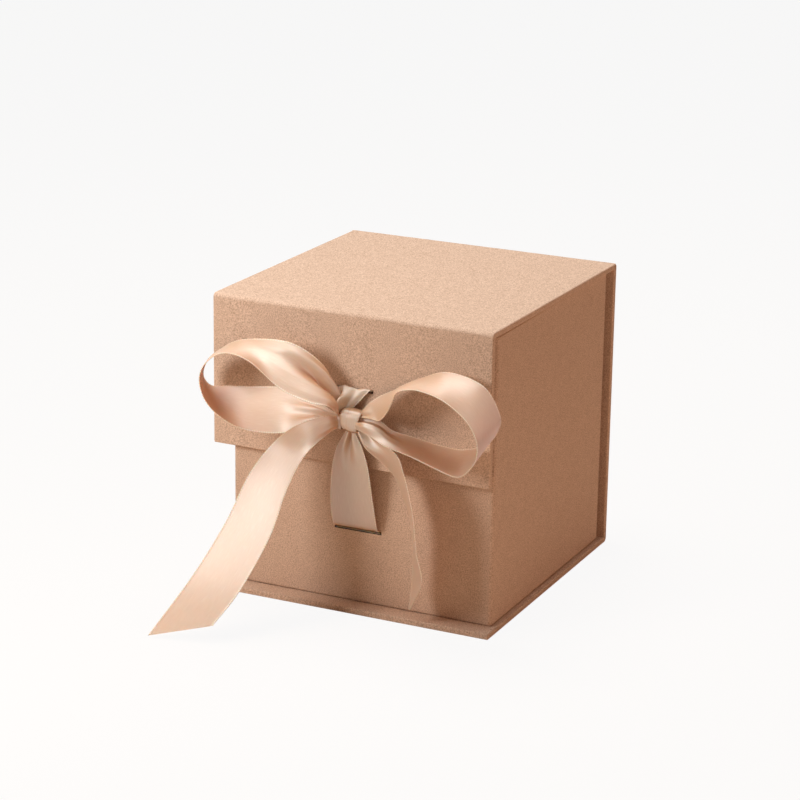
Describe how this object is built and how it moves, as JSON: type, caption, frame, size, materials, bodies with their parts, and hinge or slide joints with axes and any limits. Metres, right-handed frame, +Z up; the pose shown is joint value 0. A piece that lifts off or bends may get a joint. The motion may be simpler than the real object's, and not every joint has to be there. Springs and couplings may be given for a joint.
{
  "type": "gift box",
  "caption": "Kraft-covered rigid gift box: a tray glued in a hinged case whose lid ends in a front flap held by hidden magnets, tied with a satin ribbon bow.",
  "frame": {"origin": "centre of the closed box's footprint, on the underside of the base", "axes": "+Z up, +X to the right and -Y towards the front, where the flap and the bow are"},
  "size_m": [0.1056, 0.151, 0.101],
  "materials": {
    "kraft_paper": "uncoated kraft",
    "lining_paper": "uncoated kraft",
    "corner_tape": "gummed paper",
    "greyboard": "rough",
    "satin_ribbon": "satin",
    "magnet": "nickel plated"
  },
  "bodies": {
    "case": {"base_board": "greyboard", "base_wrap": "kraft_paper", "base_hinge_paper": "kraft_paper", "back_board": "greyboard", "back_wrap": "kraft_paper", "lid_hinge_paper": "kraft_paper", "tray_floor_board": "greyboard", "tray_front_board": "greyboard", "tray_back_board": "greyboard", "tray_left_board": "greyboard", "tray_right_board": "greyboard", "tray_wrap": "kraft_paper", "tray_wall_lining": "lining_paper", "tray_floor_lining": "lining_paper", "tray_corner_tape_front_left": "corner_tape", "tray_corner_tape_front_right": "corner_tape", "tray_corner_tape_back_left": "corner_tape", "tray_corner_tape_back_right": "corner_tape", "tray_magnet_left": "magnet", "tray_magnet_right": "magnet", "tray_ribbon_tab": "satin_ribbon"},
    "lid": {"lid_board": "greyboard", "lid_wrap": "kraft_paper", "lid_lining": "lining_paper", "flap_hinge_paper": "kraft_paper"},
    "flap": {"flap_board": "greyboard", "flap_wrap": "kraft_paper", "flap_lining": "lining_paper", "flap_magnet_left": "magnet", "flap_magnet_right": "magnet", "flap_ribbon_tab": "satin_ribbon", "upper_ribbon": "satin_ribbon", "lower_ribbon": "satin_ribbon", "bow_knot": "satin_ribbon", "bow_left_loop": "satin_ribbon", "bow_right_loop": "satin_ribbon", "bow_left_tail": "satin_ribbon", "bow_right_tail": "satin_ribbon"}
  },
  "joints": [
    {"name": "lid_hinge", "type": "hinge", "parent": "case", "child": "lid", "pos_m": [0, 0.0516, 0.101], "axis": [-1, 0, 0], "range_deg": [0, 180]},
    {"name": "flap_hinge", "type": "hinge", "parent": "lid", "child": "flap", "pos_m": [-0.00141, -0.04909, 0.101], "axis": [-0.9999, 0.0165, 0], "range_deg": [0, 90]}
  ]
}
